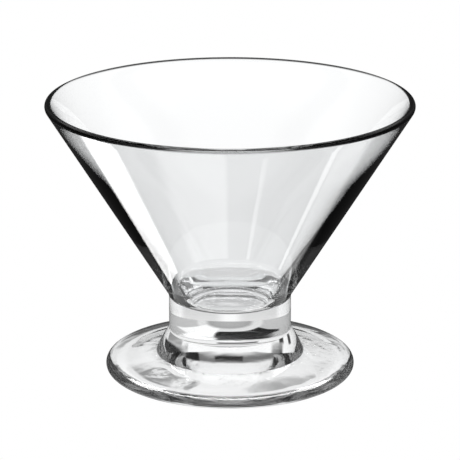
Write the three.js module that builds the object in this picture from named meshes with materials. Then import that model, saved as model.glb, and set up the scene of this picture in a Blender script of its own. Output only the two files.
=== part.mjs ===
import * as THREE from 'three';

// Ice cream cup in clear glass: a conical bowl on a short solid stem and a round foot.
// The three gathers of glass are fused to each other at two flat welds.
// Millimetres, +Z up, origin in the middle of the surface that the foot stands on.

// Foot: a dished disc with a bullnose edge, standing on a flat ring round a shallow hollow
const FOOT_DIAMETER = 79.6;
const FOOT_HEIGHT = 6;
const FOOT_EDGE_RADIUS = 2.1;
const REST_RING_WIDTH = 3;
const HOLLOW_DEPTH = 3.5;

// Stem: a solid post on a sloping collar, whose side is slightly crowned
const STEM_DIAMETER = 39;
const STEM_HEIGHT = 12.5;
const COLLAR_DIAMETER = 47.2;
const COLLAR_HEIGHT = 7.4;
const COLLAR_CROWN = 0.3;

// Bowl: a straight cone on a shank as wide as the stem, with a fire-polished rim
const RIM_DIAMETER = 116;
const RIM_THICKNESS = 2.2;
const WAIST_THICKNESS = 1.6;
const WAIST_DROP = 14;
const WAIST_RADIUS = 180;
const CREASE_THICKNESS = 4.1;
const BOWL_HEIGHT = 70;
const SHANK_HEIGHT = 6.7;
const SHANK_FILLET = 3;
const FLOOR_THICKNESS = 4;
const FLOOR_FILLET = 6.5;

// Fineness of the revolved surfaces
const SEGMENTS = 72;
const ARC_DIVISIONS = 4;

// One finish for each gather: clear, polished soda-lime glass
const GLASS_COLOUR = 0xf4f7f6;
const GLASS_ROUGHNESS = 0.03;
const GLASS_OPACITY = 0.3;

/** Unit vector at an angle measured from the outward radius towards the upward axis. */
function heading(angle) {
  return new THREE.Vector2(Math.cos(angle), Math.sin(angle));
}

/** Adds a round of the given radius where the line from before turns at corner towards after. */
function addRound(path, before, corner, after, radius) {
  const back = before.clone().sub(corner).normalize();
  const ahead = after.clone().sub(corner).normalize();
  const half = Math.acos(back.dot(ahead)) / 2;
  const touch = radius / Math.tan(half);
  const centre = back.clone().add(ahead).setLength(radius / Math.sin(half)).add(corner);
  const start = corner.clone().addScaledVector(back, touch).sub(centre).angle();
  const end = corner.clone().addScaledVector(ahead, touch).sub(centre).angle();
  path.absarc(centre.x, centre.y, radius, start, end, back.cross(ahead) > 0);
}

/** Turns an outline of radius and height about the vertical axis into one named gather of glass. */
function gather(name, outline, height) {
  const geometry = new THREE.LatheGeometry(outline.getPoints(ARC_DIVISIONS), SEGMENTS);
  geometry.rotateX(Math.PI / 2);
  const glass = new THREE.MeshStandardMaterial({
    color: GLASS_COLOUR,
    roughness: GLASS_ROUGHNESS,
    metalness: 0,
    transparent: true,
    opacity: GLASS_OPACITY,
  });
  const mesh = new THREE.Mesh(geometry, glass);
  mesh.name = name;
  mesh.position.z = height;
  return mesh;
}

/** Foot: hollow and rest ring below, bullnose edge, and a top that rises to the weld. */
function footOutline() {
  const ringOuter = FOOT_DIAMETER / 2 - FOOT_EDGE_RADIUS;
  const ringInner = ringOuter - REST_RING_WIDTH;
  const edge = new THREE.Vector2(ringOuter, FOOT_EDGE_RADIUS);
  const weld = new THREE.Vector2(COLLAR_DIAMETER / 2, FOOT_HEIGHT);

  // The hollow is part of a sphere that meets the table at the ring's inner side.
  const sphere = (ringInner ** 2 + HOLLOW_DEPTH ** 2) / (2 * HOLLOW_DEPTH);
  const halfSpread = Math.asin(ringInner / sphere);

  // The top runs straight from the weld and touches the edge's round.
  const reach = weld.clone().sub(edge);
  const topSlope = reach.angle() + Math.asin(FOOT_EDGE_RADIUS / reach.length());

  const path = new THREE.Path();
  path.absarc(0, HOLLOW_DEPTH - sphere, sphere, Math.PI / 2, Math.PI / 2 - halfSpread, true);
  path.absarc(edge.x, edge.y, FOOT_EDGE_RADIUS, -Math.PI / 2, topSlope - Math.PI / 2, false);
  path.lineTo(weld.x, weld.y);
  path.lineTo(0, FOOT_HEIGHT);
  return path;
}

/** Stem: a collar as wide as the weld on the foot, then a straight post above its edge. */
function stemOutline() {
  const collarFoot = new THREE.Vector2(COLLAR_DIAMETER / 2, 0);
  const collarTop = new THREE.Vector2(STEM_DIAMETER / 2, COLLAR_HEIGHT);

  // The collar's side is an arc that stands out from its chord by the crown.
  const chord = collarTop.clone().sub(collarFoot);
  const sweep = (chord.length() / 2) ** 2 / (2 * COLLAR_CROWN) + COLLAR_CROWN / 2;
  const halfTurn = Math.asin(chord.length() / 2 / sweep);
  const outward = chord.angle() - Math.PI / 2;
  const centre = collarFoot.clone().addScaledVector(heading(outward - halfTurn), -sweep);

  const path = new THREE.Path();
  path.moveTo(0, 0);
  path.lineTo(collarFoot.x, collarFoot.y);
  path.absarc(centre.x, centre.y, sweep, outward - halfTurn, outward + halfTurn, false);
  path.lineTo(STEM_DIAMETER / 2, STEM_HEIGHT);
  path.lineTo(0, STEM_HEIGHT);
  return path;
}

/** Bowl: shank, cone and rim outside; a wall with a thin waist and a flat floor inside. */
function bowlOutline() {
  const shank = STEM_DIAMETER / 2;
  const bead = RIM_THICKNESS / 2;
  const crease = new THREE.Vector2(shank, SHANK_HEIGHT);
  const rim = new THREE.Vector2(RIM_DIAMETER / 2 - bead, BOWL_HEIGHT - bead);

  // The outside of the cone runs straight from the crease and touches the rim's bead.
  const reach = rim.clone().sub(crease);
  const slope = reach.angle() - Math.asin(bead / reach.length());
  const inward = heading(slope + Math.PI / 2);
  const coneTop = rim.clone().addScaledVector(inward, -bead);

  // Inside, the wall thins from the bead to a waist, and thickens again towards the crease.
  const waist = coneTop.clone().addScaledVector(heading(slope), -WAIST_DROP);
  waist.addScaledVector(inward, WAIST_THICKNESS);
  const lip = rim.clone().sub(waist);
  const lipSlope = lip.angle() + Math.asin(bead / lip.length());
  const wallTop = rim.clone().addScaledVector(heading(lipSlope + Math.PI / 2), bead);
  const wallFoot = crease.clone().addScaledVector(inward, CREASE_THICKNESS);
  const wallLine = wallFoot.clone().sub(waist);
  const floorShare = (FLOOR_THICKNESS - waist.y) / wallLine.y;
  const floorCorner = waist.clone().addScaledVector(wallLine, floorShare);
  const floorCentre = new THREE.Vector2(0, FLOOR_THICKNESS);

  const path = new THREE.Path();
  path.moveTo(0, 0);
  path.lineTo(shank, 0);
  addRound(path, new THREE.Vector2(shank, 0), crease, coneTop, SHANK_FILLET);
  path.absarc(rim.x, rim.y, bead, slope - Math.PI / 2, lipSlope + Math.PI / 2, false);
  addRound(path, wallTop, waist, floorCorner, WAIST_RADIUS);
  addRound(path, waist, floorCorner, floorCentre, FLOOR_FILLET);
  path.lineTo(floorCentre.x, floorCentre.y);
  return path;
}

const cup = new THREE.Group();
cup.name = 'ice_cream_cup';
cup.add(gather('foot', footOutline(), 0));
cup.add(gather('stem', stemOutline(), FOOT_HEIGHT));
cup.add(gather('bowl', bowlOutline(), FOOT_HEIGHT + STEM_HEIGHT));

export default cup;
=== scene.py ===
"""Clear glass ice cream cup: three fused gathers of glass, their finish, a light tent and the camera."""

import logging
import math
from dataclasses import dataclass, field
from enum import Enum
from itertools import pairwise

import bpy
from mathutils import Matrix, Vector


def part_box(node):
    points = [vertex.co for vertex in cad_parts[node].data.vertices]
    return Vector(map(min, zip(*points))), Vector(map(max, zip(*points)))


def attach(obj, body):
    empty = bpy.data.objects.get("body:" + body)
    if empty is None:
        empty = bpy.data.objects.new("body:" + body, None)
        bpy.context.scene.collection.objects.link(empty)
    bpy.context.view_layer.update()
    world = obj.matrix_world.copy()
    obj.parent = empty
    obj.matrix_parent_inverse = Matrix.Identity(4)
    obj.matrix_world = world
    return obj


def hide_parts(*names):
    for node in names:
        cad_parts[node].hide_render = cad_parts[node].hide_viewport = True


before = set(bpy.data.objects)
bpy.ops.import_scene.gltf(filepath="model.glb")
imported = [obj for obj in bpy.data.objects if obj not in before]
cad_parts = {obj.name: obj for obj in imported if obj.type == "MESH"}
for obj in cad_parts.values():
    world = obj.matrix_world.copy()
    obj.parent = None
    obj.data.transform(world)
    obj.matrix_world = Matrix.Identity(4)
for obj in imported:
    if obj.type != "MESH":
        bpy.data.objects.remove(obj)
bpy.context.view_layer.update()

LOG = logging.getLogger("ice_cream_cup")
BODY = "root"

MM = 0.001
ARC_STEP = math.radians(4)
LINE_STEP = 2.5 * MM
TURN_STEPS = 288
SEED_SIZE = 1 * MM
MERGE_GAP = 0.001 * MM
SHARP_EDGE = math.radians(12)
WELD_SLOT = 1


def heading(angle: float) -> Vector:
    """Gives the unit vector at an angle from the outward radius towards the upward axis.

    Args:
        angle: Angle in radians.

    Returns:
        The vector, as radius and height.
    """
    return Vector((math.cos(angle), math.sin(angle)))


def bearing(arrow: Vector) -> float:
    """Gives the angle of a vector of radius and height, in radians."""
    return math.atan2(arrow.y, arrow.x)


class Turn(Enum):
    """Which way an arc of the outline is drawn."""

    CLOCKWISE = -1
    COUNTER_CLOCKWISE = 1


@dataclass
class Outline:
    """Half section of a gather as radius and height in metres, from the axis back to the axis."""

    points: list[Vector] = field(default_factory=list)

    def start(self, radius: float, height: float) -> None:
        """Puts the first point at a radius and height."""
        self.points = [Vector((radius, height))]

    def line(self, end: Vector) -> None:
        """Draws a straight line in short steps, so that its shading stays true up to its ends.

        Args:
            end: Where the line ends.
        """
        begin = self.points[-1].copy()
        steps = max(1, math.ceil((end - begin).length / LINE_STEP))
        if (end - begin).length > MERGE_GAP:
            self.points += [begin.lerp(end, step / steps) for step in range(1, steps + 1)]

    def arc(self, centre: Vector, radius: float, begin: float, end: float) -> None:
        """Draws a line to an arc's first point, and then the arc.

        Args:
            centre: Centre of the arc.
            radius: Radius of the arc.
            begin: Angle of its first point, in radians.
            end: Angle of its last point, in radians.
        """
        self.line(centre + radius * heading(begin))
        steps = math.ceil(abs(end - begin) * max(1 / ARC_STEP, radius / LINE_STEP))
        for step in range(1, steps + 1):
            self.points.append(centre + radius * heading(begin + (end - begin) * step / steps))

    def corner(self, corner: Vector, after: Vector, radius: float) -> None:
        """Draws a line to a rounded corner, and the round itself.

        Args:
            corner: The sharp corner that the round takes off.
            after: A point that the outline heads for after the corner.
            radius: Radius of the round.
        """
        back = (self.points[-1] - corner).normalized()
        ahead = (after - corner).normalized()
        half = math.acos(back.dot(ahead)) / 2
        touch = radius / math.tan(half)
        centre = corner + (back + ahead).normalized() * (radius / math.sin(half))
        turn = math.pi - 2 * half
        way = Turn.COUNTER_CLOCKWISE if back.x * ahead.y < back.y * ahead.x else Turn.CLOCKWISE
        begin = bearing(corner + touch * back - centre)
        self.arc(centre, radius, begin, begin + way.value * turn)


Value = bpy.types.NodeSocket | float | tuple[float, ...]


@dataclass
class Wiring:
    """Adds linked nodes to the tree of a material or of the world."""

    tree: bpy.types.NodeTree

    def plug(self, source: Value, target: bpy.types.NodeSocket) -> None:
        """Links a socket to the target, or sets a plain value on it.

        Args:
            source: The socket or the value.
            target: Socket that takes it.
        """
        if isinstance(source, bpy.types.NodeSocket):
            self.tree.links.new(source, target)
        else:
            target.default_value = source

    def number(self, how: str, first: Value, second: Value) -> bpy.types.NodeSocket:
        """Works out one number from two.

        Args:
            how: The operation, as a Math node names it.
            first: First number.
            second: Second number.

        Returns:
            The socket that gives the result.
        """
        node = self.tree.nodes.new("ShaderNodeMath")
        node.operation = how
        self.plug(first, node.inputs[0])
        self.plug(second, node.inputs[1])
        return node.outputs["Value"]

    def vector(self, how: str, first: Value, second: Value = (0, 0, 0)) -> bpy.types.NodeSocket:
        """Works out a vector, or a number for the operations that give one.

        Args:
            how: The operation, as a Vector Math node names it.
            first: First vector.
            second: Second vector, where the operation takes two.

        Returns:
            The socket that gives the result.
        """
        node = self.tree.nodes.new("ShaderNodeVectorMath")
        node.operation = how
        self.plug(first, node.inputs[0])
        self.plug(second, node.inputs[1])
        return node.outputs["Value" if how in ("DOT_PRODUCT", "LENGTH") else "Vector"]

    def ease(self, value: Value, begin: float, end: float) -> bpy.types.NodeSocket:
        """Leads softly from 0 to 1 as a value goes from one mark to another.

        Args:
            value: The value.
            begin: Mark where the result is still 0.
            end: Mark where it is 1, above or below the first.

        Returns:
            The socket that gives the result.
        """
        node = self.tree.nodes.new("ShaderNodeMapRange")
        node.interpolation_type = "SMOOTHSTEP"
        node.inputs["From Min"].default_value = min(begin, end)
        node.inputs["From Max"].default_value = max(begin, end)
        node.inputs["To Min"].default_value = float(begin > end)
        node.inputs["To Max"].default_value = float(begin < end)
        self.plug(value, node.inputs["Value"])
        return node.outputs["Result"]

    def noise(self, place: Value, detail: float) -> bpy.types.NodeSocket:
        """Adds a noise of about one wave to the unit.

        Args:
            place: Where the noise is read.
            detail: How many finer waves lie on it.

        Returns:
            The socket that gives the noise, from 0 to 1.
        """
        node = self.tree.nodes.new("ShaderNodeTexNoise")
        node.inputs["Scale"].default_value = 1
        node.inputs["Detail"].default_value = detail
        self.plug(place, node.inputs["Vector"])
        return node.outputs["Fac"]

    def mix(self, share: Value, first: Value, second: Value) -> bpy.types.NodeSocket:
        """Mixes two numbers.

        Args:
            share: Share of the second number, from 0 to 1.
            first: First number.
            second: Second number.

        Returns:
            The socket that gives the mixed number.
        """
        node = self.tree.nodes.new("ShaderNodeMix")
        node.data_type = "FLOAT"
        self.plug(share, node.inputs["Factor"])
        self.plug(first, node.inputs["A"])
        self.plug(second, node.inputs["B"])
        return node.outputs["Result"]


@dataclass(frozen=True)
class Ripple:
    """Faint waves all over the skin, left by the mould and softened by the polishing fire."""

    size: float
    depth: float
    flow: tuple[float, float, float] = (1.0, 1.0, 0.35)
    detail: float = 1.5

    def height(self, wiring: Wiring, place: bpy.types.NodeSocket) -> bpy.types.NodeSocket:
        """Gives the height of the waves, which are drawn out along the cup's axis.

        Args:
            wiring: Nodes of the material.
            place: Object coordinates.

        Returns:
            The socket that gives the height in metres.
        """
        flow = wiring.vector("MULTIPLY", place, Vector(self.flow) / self.size)
        return wiring.number("MULTIPLY", wiring.noise(flow, self.detail), self.depth)


@dataclass(frozen=True)
class ChillMarks:
    """Small matt dents where hot glass met the cold mould: round the collar's base, and in patches.

    Each limit of the marks is soft, from a share of its radius or height to the whole of it.
    A patch begins where its noise reaches the first of two levels, and is full at the second.
    """

    size: float
    depth: float
    frost: float
    ring_inner: float
    ring_outer: float
    reach: float
    above: float
    patch: float
    drift: float
    levels: tuple[float, float] = (0.52, 0.62)
    radius_fade: float = 0.94
    height_fade: float = 0.95
    detail: float = 2.0

    def share(self, wiring: Wiring, place: bpy.types.NodeSocket) -> bpy.types.NodeSocket:
        """Finds where the marks are.

        Args:
            wiring: Nodes of the material.
            place: Object coordinates.

        Returns:
            The socket that gives 1 among the marks and 0 elsewhere.
        """
        reach = wiring.vector("LENGTH", wiring.vector("MULTIPLY", place, (1, 1, 0)))
        height = wiring.vector("DOT_PRODUCT", place, (0, 0, 1))
        waves = wiring.vector("MULTIPLY", place, (1 / self.patch,) * 3)
        patches = wiring.noise(wiring.vector("ADD", waves, (self.drift, 0, 0)), 0)
        ring = wiring.ease(reach, self.ring_outer, self.ring_inner)
        share = wiring.number("MAXIMUM", ring, wiring.ease(patches, *self.levels))
        for limit in (
            wiring.ease(reach, self.radius_fade * self.ring_inner, self.ring_inner),
            wiring.ease(reach, self.reach, self.radius_fade * self.reach),
            wiring.ease(height, self.height_fade * self.above, self.above),
        ):
            share = wiring.number("MULTIPLY", share, limit)
        return share

    def height(
        self, wiring: Wiring, place: bpy.types.NodeSocket, share: bpy.types.NodeSocket
    ) -> bpy.types.NodeSocket:
        """Gives the height of the dents.

        Args:
            wiring: Nodes of the material.
            place: Object coordinates.
            share: Where the marks are.

        Returns:
            The socket that gives the height in metres.
        """
        dents = wiring.noise(wiring.vector("MULTIPLY", place, (1 / self.size,) * 3), self.detail)
        return wiring.number("MULTIPLY", wiring.number("MULTIPLY", dents, share), self.depth)


@dataclass(frozen=True)
class GlassFinish:
    """Clear glass with a fire-polished skin, whose roughness lies between two values."""

    name: str
    ripple: Ripple
    polish: tuple[float, float]
    marks: ChillMarks | None = None
    tint: tuple[float, float, float] = (0.985, 0.992, 0.996)
    index: float = 1.52
    haze_detail: float = 1.0

    def make(self) -> bpy.types.Material:
        """Makes the material.

        Returns:
            A material that reads Object coordinates.
        """
        material = bpy.data.materials.new(self.name)
        material.use_nodes = True
        wiring = Wiring(material.node_tree)
        shader = wiring.tree.nodes["Principled BSDF"]
        shader.inputs["Base Color"].default_value = (*self.tint, 1)
        shader.inputs["IOR"].default_value = self.index
        shader.inputs["Transmission Weight"].default_value = 1
        place = wiring.tree.nodes.new("ShaderNodeTexCoord").outputs["Object"]
        height = self.ripple.height(wiring, place)
        waves = wiring.vector("MULTIPLY", place, (1 / self.ripple.size,) * 3)
        polish = wiring.mix(wiring.noise(waves, self.haze_detail), *self.polish)
        if self.marks:
            share = self.marks.share(wiring, place)
            height = wiring.number("ADD", height, self.marks.height(wiring, place, share))
            polish = wiring.mix(share, polish, self.marks.frost)
        skin = wiring.tree.nodes.new("ShaderNodeBump")
        skin.inputs["Strength"].default_value = 1
        skin.inputs["Distance"].default_value = 1
        wiring.plug(height, skin.inputs["Height"])
        wiring.plug(skin.outputs["Normal"], shader.inputs["Normal"])
        wiring.plug(polish, shader.inputs["Roughness"])
        return material


@dataclass(frozen=True)
class WeldFinish:
    """A fused joint: the glass runs on through it, so light passes it unbent."""

    name: str = "fused_weld"

    def make(self) -> bpy.types.Material:
        """Makes the material.

        Returns:
            A material that lets all light through.
        """
        material = bpy.data.materials.new(self.name)
        material.use_nodes = True
        material.node_tree.nodes["Principled BSDF"].inputs["Alpha"].default_value = 0
        return material


@dataclass
class Gather:
    """One gather of glass, turned about the cup's axis and fused to its neighbours."""

    node: str
    glass: GlassFinish
    low: float
    high: float
    welds: tuple[float, ...]

    def outline(self) -> Outline:
        """Draws the half section, which each gather has of its own."""
        raise NotImplementedError

    def build(self) -> bpy.types.Object:
        """Turns the half section about the axis.

        Returns:
            The piece, at the origin, with its faces outwards and its poles closed.
        """
        points = self.outline().points
        bpy.ops.object.select_all(action="DESELECT")
        bpy.ops.mesh.primitive_plane_add(size=SEED_SIZE, location=(points[0].x, 0, points[0].y))
        piece = bpy.context.object
        piece.name = piece.data.name = f"{self.node}_glass"
        bpy.ops.object.mode_set(mode="EDIT")
        bpy.ops.mesh.select_mode(type="VERT")
        bpy.ops.mesh.merge(type="CENTER")
        for before, after in pairwise(points):
            step = after - before
            bpy.ops.mesh.extrude_region_move(TRANSFORM_OT_translate={"value": (step.x, 0, step.y)})
        bpy.ops.mesh.select_all(action="SELECT")
        bpy.ops.mesh.spin(steps=TURN_STEPS, angle=math.tau, center=(0, 0, 0), axis=(0, 0, 1))
        bpy.ops.mesh.select_all(action="SELECT")
        bpy.ops.mesh.remove_doubles(threshold=MERGE_GAP)
        bpy.ops.mesh.normals_make_consistent(inside=False)
        bpy.ops.object.mode_set(mode="OBJECT")
        bpy.ops.object.transform_apply(location=True, rotation=True, scale=True)
        bpy.ops.object.shade_smooth_by_angle(angle=SHARP_EDGE)
        return piece

    def dress(self, piece: bpy.types.Object, weld: bpy.types.Material) -> None:
        """Gives the piece its glass, and its weld faces the finish of a fused joint.

        Args:
            piece: The turned piece.
            weld: Finish of the fused joints.
        """
        piece.data.materials.append(self.glass.make())
        piece.data.materials.append(weld)
        bpy.ops.object.mode_set(mode="EDIT")
        bpy.ops.mesh.select_mode(type="FACE")
        bpy.ops.mesh.select_all(action="DESELECT")
        bpy.ops.object.mode_set(mode="OBJECT")
        for face in piece.data.polygons:
            face.select = any(abs(face.center.z - height) < MERGE_GAP for height in self.welds)
        bpy.ops.object.mode_set(mode="EDIT")
        piece.active_material_index = WELD_SLOT
        bpy.ops.object.material_slot_assign()
        bpy.ops.object.mode_set(mode="OBJECT")

    def join(self, piece: bpy.types.Object) -> None:
        """Lets the piece stand for its solid in the frame.

        Args:
            piece: The dressed piece.
        """
        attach(piece, BODY)
        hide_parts(self.node)


@dataclass
class Foot(Gather):
    """Dished round foot with a bullnose edge, standing on a flat ring."""

    radius: float
    weld_radius: float
    edge_radius: float = 2.1 * MM
    ring_width: float = 3 * MM
    hollow_depth: float = 3.5 * MM

    def outline(self) -> Outline:
        """Draws the hollow, the ring, the edge and the sloping top.

        Returns:
            The foot's half section.
        """
        ring_outer = self.radius - self.edge_radius
        ring_inner = ring_outer - self.ring_width
        sphere = (ring_inner**2 + self.hollow_depth**2) / (2 * self.hollow_depth)
        spread = math.asin(ring_inner / sphere)
        edge = Vector((ring_outer, self.low + self.edge_radius))
        weld = Vector((self.weld_radius, self.high))
        reach = weld - edge
        slope = bearing(reach) + math.asin(self.edge_radius / reach.length)
        section = Outline()
        section.start(0, self.low + self.hollow_depth)
        top = Vector((0, self.low + self.hollow_depth - sphere))
        section.arc(top, sphere, math.pi / 2, math.pi / 2 - spread)
        section.arc(edge, self.edge_radius, -math.pi / 2, slope - math.pi / 2)
        section.line(weld)
        section.line(Vector((0, self.high)))
        return section


@dataclass
class Stem(Gather):
    """Solid post on a sloping collar, whose side is slightly crowned."""

    collar_radius: float
    post_radius: float
    collar_height: float = 7.4 * MM
    collar_crown: float = 0.3 * MM

    def outline(self) -> Outline:
        """Draws the collar from the foot, and the post above its edge.

        Returns:
            The stem's half section.
        """
        foot = Vector((self.collar_radius, self.low))
        top = Vector((self.post_radius, self.low + self.collar_height))
        chord = top - foot
        sweep = (chord.length / 2) ** 2 / (2 * self.collar_crown) + self.collar_crown / 2
        half_turn = math.asin(chord.length / 2 / sweep)
        outward = bearing(chord) - math.pi / 2
        centre = foot - sweep * heading(outward - half_turn)
        section = Outline()
        section.start(0, self.low)
        section.line(foot)
        section.arc(centre, sweep, outward - half_turn, outward + half_turn)
        section.line(Vector((self.post_radius, self.high)))
        section.line(Vector((0, self.high)))
        return section


@dataclass
class Bowl(Gather):
    """Conical bowl on a short shank, with a rounded rim and a wall that is thinnest at a waist."""

    rim_radius: float
    shank_radius: float
    rim_thickness: float = 2.2 * MM
    waist_thickness: float = 1.6 * MM
    waist_drop: float = 14 * MM
    waist_radius: float = 180 * MM
    crease_thickness: float = 4.1 * MM
    shank_height: float = 6.7 * MM
    shank_fillet: float = 3 * MM
    floor_thickness: float = 4 * MM
    floor_fillet: float = 6.5 * MM

    def outline(self) -> Outline:
        """Draws the shank, the cone, the rim, the inside wall and the floor.

        Returns:
            The bowl's half section.
        """
        bead = self.rim_thickness / 2
        crease = Vector((self.shank_radius, self.low + self.shank_height))
        rim = Vector((self.rim_radius - bead, self.high - bead))
        reach = rim - crease
        slope = bearing(reach) - math.asin(bead / reach.length)
        inward = heading(slope + math.pi / 2)
        cone_top = rim - inward * bead
        waist = cone_top - heading(slope) * self.waist_drop + inward * self.waist_thickness
        lip = rim - waist
        lip_slope = bearing(lip) + math.asin(bead / lip.length)
        wall_line = crease + inward * self.crease_thickness - waist
        floor_height = self.low + self.floor_thickness
        floor_corner = waist + wall_line * ((floor_height - waist.y) / wall_line.y)
        floor_centre = Vector((0, floor_height))
        section = Outline()
        section.start(0, self.low)
        section.line(Vector((self.shank_radius, self.low)))
        section.corner(crease, cone_top, self.shank_fillet)
        section.arc(rim, bead, slope - math.pi / 2, lip_slope + math.pi / 2)
        section.corner(waist, floor_corner, self.waist_radius)
        section.corner(floor_corner, floor_centre, self.floor_fillet)
        section.line(floor_centre)
        return section


# Counts on the light's path are whole numbers, so a limit lies half way between two of them
HALF_COUNT = 0.5
SURFACES_OF_EDGE = 2


class Entry(Enum):
    """Part of the cup that light from the tent meets first on its way to the eye."""

    BOWL = "bowl"
    BASE = "stem and foot"


class Route(Enum):
    """Ways that light from the tent takes through the glass to the eye."""

    THROUGH = "through two walls or more"
    EDGE = "through one edge"
    ONCE = "mirrored once inside"
    ONCE_ACROSS = "mirrored once on the way through two walls or more"
    OFTEN = "mirrored more often inside"
    OFTEN_ACROSS = "mirrored more often on the way through two walls or more"
    SKIN = "mirrored by the skin"


@dataclass(frozen=True)
class Belt:
    """Brightness of the tent's wall at one elevation, in degrees above the horizon."""

    elevation: float
    brightness: float


def belts(*marks: tuple[float, float]) -> tuple[Belt, ...]:
    """Makes belts from pairs of elevation and brightness, the lowest first.

    Args:
        marks: The pairs.

    Returns:
        The belts.
    """
    return tuple(Belt(*mark) for mark in marks)


@dataclass(frozen=True)
class Panel:
    """A soft-edged screen or dark flag before the tent's wall, with its angles in degrees.

    Azimuth 0 is behind the cup in the photograph's view, and 90 is to its right.
    The spread is the angle from the panel's middle to either side.
    """

    azimuth: float
    spread: float
    low: float
    high: float
    brightness: float
    blur: float = 2.0

    def cover(
        self, wiring: Wiring, compass: bpy.types.NodeSocket, height: bpy.types.NodeSocket
    ) -> bpy.types.NodeSocket:
        """Finds how far the panel covers a direction.

        Args:
            wiring: Nodes of the world.
            compass: The direction's level part, of length 1.
            height: The direction's upward part, from -1 to 1.

        Returns:
            The socket that gives 0 outside the panel and 1 within its soft edge.
        """
        azimuth = math.radians(self.azimuth)
        spread = math.radians(self.spread)
        blur = math.radians(self.blur)
        low = math.radians(self.low)
        high = math.radians(self.high)
        near = wiring.vector("DOT_PRODUCT", compass, (math.sin(azimuth), math.cos(azimuth), 0))
        across = wiring.ease(near, math.cos(spread + blur), math.cos(max(spread - blur, 0)))
        above = wiring.ease(height, math.sin(max(low - blur, -math.pi / 2)), math.sin(low + blur))
        below = wiring.ease(height, math.sin(min(high + blur, math.pi / 2)), math.sin(high - blur))
        return wiring.number("MULTIPLY", across, wiring.number("MULTIPLY", above, below))


@dataclass(frozen=True)
class Wall:
    """The tent's wall for one route: belts all round, and panels before them."""

    belts: tuple[Belt, ...]
    panels: tuple[Panel, ...] = ()

    def hang(
        self, wiring: Wiring, compass: bpy.types.NodeSocket, height: bpy.types.NodeSocket
    ) -> bpy.types.NodeSocket:
        """Hangs the wall, with its panels before it.

        Args:
            wiring: Nodes of the world.
            compass: The direction's level part, of length 1.
            height: The direction's upward part, from -1 to 1.

        Returns:
            The socket that gives the brightness in a direction.
        """
        # The ramp runs from straight down at 0 to straight up at 1.
        ramp = wiring.tree.nodes.new("ShaderNodeValToRGB")
        share = wiring.number("MULTIPLY", wiring.number("ADD", height, 1.0), 0.5)
        wiring.plug(share, ramp.inputs["Fac"])
        marks = ramp.color_ramp.elements
        while len(marks) > 1:
            marks.remove(marks[-1])
        for count, belt in enumerate(self.belts):
            position = (math.sin(math.radians(belt.elevation)) + 1) / 2
            mark = marks[0] if count == 0 else marks.new(position)
            mark.position = position
            mark.color = (belt.brightness, belt.brightness, belt.brightness, 1)
        shade = ramp.outputs["Color"]
        for panel in self.panels:
            shade = wiring.mix(panel.cover(wiring, compass, height), shade, panel.brightness)
        return shade


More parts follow.
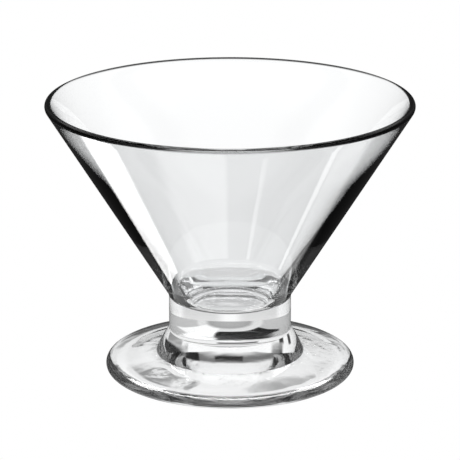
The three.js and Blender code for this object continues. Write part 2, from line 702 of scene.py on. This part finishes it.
@dataclass
class LightTent:
    """A white tent with screens and flags in it, as glass is lit to keep its edges dark.

    It has a wall of its own for each route of the light, and for the bowl and the base apart,
    so it isn't a tent that could be hung: one wall can't give both the dark edges and the white ground.
    """

    walls: dict[Entry, dict[Route, Wall]]
    backdrop: float = 1.0
    floor_size: float = 6.0

    def build(self) -> None:
        """Hangs the tent round the cup as the world's light, and lays its pale floor."""
        world = bpy.data.worlds.new("light_tent")
        bpy.context.scene.world = world
        world.use_nodes = True
        world.cycles.sampling_method = "NONE"
        wiring = Wiring(world.node_tree)
        wiring.tree.nodes.clear()
        path = wiring.tree.nodes.new("ShaderNodeLightPath").outputs
        bowl = self.light(wiring, path, self.walls[Entry.BOWL])
        base = self.light(wiring, path, self.walls[Entry.BASE])
        # The bowl is polished so finely that its rays count as singular, and those of the base don't.
        shade = wiring.mix(path["Is Singular Ray"], base, bowl)
        shade = wiring.mix(path["Is Camera Ray"], shade, self.backdrop)
        glow = wiring.tree.nodes.new("ShaderNodeBackground")
        output = wiring.tree.nodes.new("ShaderNodeOutputWorld")
        wiring.plug(shade, glow.inputs["Color"])
        wiring.plug(glow.outputs["Background"], output.inputs["Surface"])
        self.lay_floor()

    def light(
        self, wiring: Wiring, path: bpy.types.NodeOutputs, walls: dict[Route, Wall]
    ) -> bpy.types.NodeSocket:
        """Picks the wall by the route that the light takes.

        Args:
            wiring: Nodes of the world.
            path: Sockets that count how often the light was mirrored and passed a surface.
            walls: The wall of each route.

        Returns:
            The socket that gives the light's brightness.
        """
        arrow = wiring.tree.nodes.new("ShaderNodeTexCoord").outputs["Generated"]
        compass = wiring.vector("NORMALIZE", wiring.vector("MULTIPLY", arrow, (1, 1, 0)))
        height = wiring.vector("DOT_PRODUCT", arrow, (0, 0, 1))
        shades = {route: wall.hang(wiring, compass, height) for route, wall in walls.items()}
        mirrored, passed = path["Glossy Depth"], path["Transmission Depth"]
        edge = wiring.number("LESS_THAN", passed, SURFACES_OF_EDGE + HALF_COUNT)
        shade = wiring.mix(edge, shades[Route.THROUGH], shades[Route.EDGE])
        once = wiring.mix(edge, shades[Route.ONCE_ACROSS], shades[Route.ONCE])
        often = wiring.mix(edge, shades[Route.OFTEN_ACROSS], shades[Route.OFTEN])
        shade = wiring.mix(wiring.number("GREATER_THAN", mirrored, HALF_COUNT), shade, once)
        shade = wiring.mix(wiring.number("GREATER_THAN", mirrored, 1 + HALF_COUNT), shade, often)
        return wiring.mix(wiring.number("LESS_THAN", passed, HALF_COUNT), shade, shades[Route.SKIN])

    def lay_floor(self) -> None:
        """Lays the pale floor, which only the camera sees, because the tent lights the glass."""
        bpy.ops.object.select_all(action="DESELECT")
        bpy.ops.mesh.primitive_plane_add(size=self.floor_size, location=(0, 0, 0))
        floor = bpy.context.object
        floor.name = "floor"
        floor.visible_diffuse = False
        floor.visible_glossy = False
        floor.visible_transmission = False
        floor.visible_shadow = False
        sweep = bpy.data.materials.new("pale_sweep")
        sweep.use_nodes = True
        wiring = Wiring(sweep.node_tree)
        wiring.tree.nodes.clear()
        glow = wiring.tree.nodes.new("ShaderNodeEmission")
        glow.inputs["Strength"].default_value = self.backdrop
        output = wiring.tree.nodes.new("ShaderNodeOutputMaterial")
        wiring.plug(glow.outputs["Emission"], output.inputs["Surface"])
        floor.data.materials.append(sweep)


@dataclass(frozen=True)
class Camera:
    """The photograph's viewpoint: a long lens above the rim's level, with bounces enough for glass."""

    distance: float = 863.1 * MM
    aim_height: float = 45.96 * MM
    elevation: float = math.radians(17.24)
    sensor: float = 36.0
    lens: float = 212.9
    bounces: int = 24

    def build(self) -> None:
        """Sets up the camera."""
        data = bpy.data.cameras.new("camera")
        data.sensor_width = self.sensor
        data.lens = self.lens
        camera = bpy.data.objects.new("camera", data)
        bpy.context.scene.collection.objects.link(camera)
        back = Vector((0, -math.cos(self.elevation), math.sin(self.elevation)))
        camera.location = Vector((0, 0, self.aim_height)) + self.distance * back
        camera.rotation_euler = (math.pi / 2 - self.elevation, 0, 0)
        scene = bpy.context.scene
        scene.camera = camera
        scene.view_settings.view_transform = "Standard"
        scene.cycles.max_bounces = self.bounces
        scene.cycles.transmission_bounces = self.bounces
        scene.cycles.glossy_bounces = self.bounces
        scene.cycles.transparent_max_bounces = self.bounces


# A note over a panel names what it makes in the photograph's view
BOWL_ONCE = Wall(
    belts(
        (-90, 0.3),
        (-53, 0.3),
        (-49, 0.008),
        (-12, 0.004),
        (2, 0.9),
        (34, 0.9),
        (36, 0.1),
        (40, 0.1),
        (43, 0.9),
        (60, 1.0),
        (75, 0.3),
    ),
)

BOWL_WALLS = {
    Route.THROUGH: Wall(
        belts((-90, 0.8), (-52, 0.8), (-44, 0.9), (-26, 0.88), (-10, 0.88), (38, 0.9), (50, 0.3)),
        (
            # Grey band over the bowl's floor
            Panel(0, 8, -52, -27, 0.66),
            # Dark line along the bowl's lower right side
            Panel(19, 6.5, -38, -33, 0.03, blur=1.2),
        ),
    ),
    Route.EDGE: Wall(
        belts(
            (-90, 0.02),
            (-44, 0.08),
            (-38, 0.15),
            (-33, 0.5),
            (-29, 1.0),
            (-12, 1.07),
            (38, 1.07),
            (48, 0.02),
        ),
    ),
    Route.ONCE: Wall(
        BOWL_ONCE.belts,
        (
            # Dark line along the foot's front edge
            Panel(0, 30, 27, 43, 0.04, blur=1.5),
        ),
    ),
    Route.ONCE_ACROSS: BOWL_ONCE,
    Route.OFTEN: Wall(
        belts((-90, 0.02), (-30, 0.005), (0, 0.02), (30, 0.05), (46, 0.05), (56, 0.5), (90, 0.5)),
    ),
    Route.OFTEN_ACROSS: Wall(
        belts((-90, 0.02), (90, 0.02)),
        (
            # Bright ring round the bowl's floor
            Panel(180, 60, 15, 80, 0.8, blur=4),
            # Bright line above the foot's front edge
            Panel(0, 14, 5, 30, 0.8),
        ),
    ),
    Route.SKIN: Wall(
        belts((-90, 0.1), (-50, 0.1), (-45, 0.02), (22, 0.05), (30, 0.5), (38, 0.5), (48, 0.03)),
        (
            # White stripe down the left side
            Panel(-50.5, 11, -60, -39, 5.5),
            # Faint sheen left of the middle, and a soft one on the right side
            Panel(-130, 42, -88, -60, 1.6, blur=7),
            Panel(55, 9, -57, -40, 1.4, blur=4),
            # Two thin streaks right of the middle
            Panel(67, 1.5, -68, -50, 2.4, blur=1),
            Panel(121, 3, -83, -75, 1.7, blur=1.5),
        ),
    ),
}

BASE_WALLS = {
    Route.THROUGH: Wall(
        belts(
            (-90, 0.85),
            (-53, 0.85),
            (-50, 0.7),
            (-49, 0.02),
            (-34, 0.01),
            (-30, 0.3),
            (-26, 0.7),
            (-12, 0.75),
            (0, 0.95),
            (30, 0.9),
            (50, 0.3),
        ),
        (
            # Bright patch on the stem's left
            Panel(33, 21, -52, -32, 1.6),
        ),
    ),
    Route.EDGE: Wall(
        belts(
            (-90, 0.05),
            (-42, 0.1),
            (-35, 0.6),
            (-30, 1.0),
            (-16, 1.05),
            (-12, 1.0),
            (-8, 0.95),
            (8, 0.9),
            (38, 0.7),
            (50, 0.05),
        ),
        (
            # Grey sides of the stem under the crease
            Panel(24, 17, -20.5, -16, 0.62, blur=5),
            Panel(-24, 17, -20.5, -16, 0.62, blur=5),
            # Dark line where the post stands on the collar
            Panel(0, 30, -1.8, 2.5, 0.25, blur=0.6),
            # Dark patches on the foot's left and right
            Panel(-3.9, 1.4, -24, -21, 0.3, blur=1.2),
            Panel(3.2, 1.7, -26, -22.5, 0.45, blur=1.2),
            # Dark line along the foot's far edge
            Panel(0, 14, -48, -27, 0.15, blur=1.2),
            # Dark line at the post's foot, and along the foot's edge
            Panel(-4, 10, -12.5, -5, 0.15, blur=1.2),
        ),
    ),
    Route.ONCE: Wall(
        belts(
            (-90, 0.5),
            (-74, 0.45),
            (-70, 0.4),
            (-66, 0.8),
            (-60, 0.85),
            (-57, 0.6),
            (-20, 0.6),
            (5, 1.0),
            (21.5, 1.05),
            (39.5, 0.9),
            (41, 1.0),
            (42.5, 0.45),
            (43.5, 0.2),
            (45, 0.15),
            (46, 0.35),
            (47, 0.9),
            (49.6, 1.2),
            (50.2, 0.5),
            (60, 0.6),
            (75, 0.3),
        ),
        (
            # Light from straight below
            Panel(0, 60, -90, -72, 0.8),
            # Shade in the stem's smear, on the foot's top and along its edge
            Panel(-5, 28, 23, 39.5, 0.08, blur=1.2),
            # Dark line under the crease
            Panel(-4, 20, -47, -8, 0.03),
            # Bright patch on the stem's left
            Panel(136, 21, -66, -31, 1.1),
            # Dark smear on the stem's right
            Panel(-160, 38, -58.5, -33, 0.015, blur=1.5),
            # Dark blot on the collar's left, with a greyer top
            Panel(42.5, 18, 0, 19.6, 0.004, blur=0.8),
            Panel(41, 11, 19.8, 24, 0.35, blur=0.8),
            # Smudges along the collar's foot
            Panel(42, 14, 40, 46.5, 0.004, blur=1),
            Panel(1, 11, 42.9, 44.9, 0.008, blur=0.6),
            # Three dark streaks on the collar's right
            Panel(-29.5, 5, 4, 19.4, 0.04, blur=1.5),
            Panel(-34, 2.5, 19.5, 24, 0.02, blur=0.8),
            Panel(-46, 2.5, 18.3, 23, 0.04, blur=0.8),
        ),
    ),
    Route.ONCE_ACROSS: Wall(
        belts(
            (-90, 0.8),
            (-60, 0.8),
            (-50, 0.2),
            (-40, 0.2),
            (-30, 0.5),
            (0, 0.5),
            (8, 0.05),
            (33, 0.05),
            (40, 0.5),
            (47, 0.9),
            (49.6, 1.2),
            (50.2, 0.5),
            (60, 0.6),
            (75, 0.3),
        ),
        (
            # Dark corners at the bowl's bottom
            Panel(26, 11, -51, -43, 0.02, blur=1.2),
            Panel(-26, 11, -51, -43, 0.02, blur=1.2),
        ),
    ),
    Route.OFTEN: Wall(
        belts((-90, 0.02), (-30, 0.015), (10, 0.02), (30, 0.04), (90, 0.02)),
        (
            # Bright lines round the bowl's floor, along the rim's front and along the foot's edge
            Panel(0, 13, -62, 30, 0.9, blur=3),
            # Softer light at the ends of the foot's edge and on the collar's sides
            Panel(-165, 35, -40, 45, 0.5, blur=6),
            Panel(120, 20, -30, 50, 0.35, blur=6),
            Panel(180, 85, 14, 46, 0.4, blur=4),
        ),
    ),
    Route.OFTEN_ACROSS: Wall(
        belts(
            (-90, 0.05),
            (5, 0.05),
            (15, 0.3),
            (24, 0.3),
            (32, 1.2),
            (60, 0.8),
        ),
        (
            # Dark spot at the left of the bowl's floor
            Panel(88, 22, 18, 31, 0.08),
            # Bright rings round the bowl's floor
            Panel(0, 30, -34, 8, 0.9, blur=3),
            Panel(0, 30, -85, -54, 0.9),
        ),
    ),
    Route.SKIN: Wall(
        belts((-90, 0.02), (-8, 0.03), (20, 0.1), (26, 0.4), (50, 0.4), (56, 14.0), (90, 14.0)),
        (
            # Sheen on the foot's left and right, and sparks in the bowl's corners
            Panel(0, 90, 38, 60, 14.0, blur=3),
        ),
    ),
}

TENT = LightTent(walls={Entry.BOWL: BOWL_WALLS, Entry.BASE: BASE_WALLS})

BOWL_RIPPLE = Ripple(9 * MM, 0.02 * MM)
BASE_RIPPLE = Ripple(7 * MM, 0.04 * MM)
CHILL_MARKS = ChillMarks(
    size=3.2 * MM,
    depth=0.12 * MM,
    frost=0.1,
    ring_inner=23.4 * MM,
    ring_outer=29 * MM,
    reach=37 * MM,
    above=4 * MM,
    patch=16 * MM,
    drift=6.6,
)
BOWL_POLISH = (0.0, 0.002)
BASE_POLISH = (0.02, 0.04)
POST_RADIUS = 19.5 * MM


def make_cup() -> list[Gather]:
    """Sizes the three gathers by the frame.

    Returns:
        The foot, the stem and the bowl.
    """
    foot_low, foot_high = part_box("foot")
    stem_low, stem_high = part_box("stem")
    bowl_low, bowl_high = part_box("bowl")
    return [
        Foot(
            node="foot",
            glass=GlassFinish("foot_glass", BASE_RIPPLE, BASE_POLISH, CHILL_MARKS),
            low=foot_low.z,
            high=foot_high.z,
            welds=(foot_high.z,),
            radius=foot_high.x,
            weld_radius=stem_high.x,
        ),
        Stem(
            node="stem",
            glass=GlassFinish("stem_glass", BASE_RIPPLE, BASE_POLISH, CHILL_MARKS),
            low=stem_low.z,
            high=stem_high.z,
            welds=(stem_low.z, stem_high.z),
            collar_radius=stem_high.x,
            post_radius=POST_RADIUS,
        ),
        Bowl(
            node="bowl",
            glass=GlassFinish("bowl_glass", BOWL_RIPPLE, BOWL_POLISH),
            low=bowl_low.z,
            high=bowl_high.z,
            welds=(bowl_low.z,),
            rim_radius=bowl_high.x,
            shank_radius=POST_RADIUS,
        ),
    ]


def main() -> None:
    """Builds the camera, the tent and the cup."""
    logging.basicConfig(level=logging.INFO, format="%(name)s: %(message)s")
    Camera().build()
    TENT.build()
    weld = WeldFinish().make()
    for gather in make_cup():
        piece = gather.build()
        gather.dress(piece, weld)
        gather.join(piece)
        LOG.info("%s: %d faces", piece.name, len(piece.data.polygons))


if __name__ == "__main__":
    main()
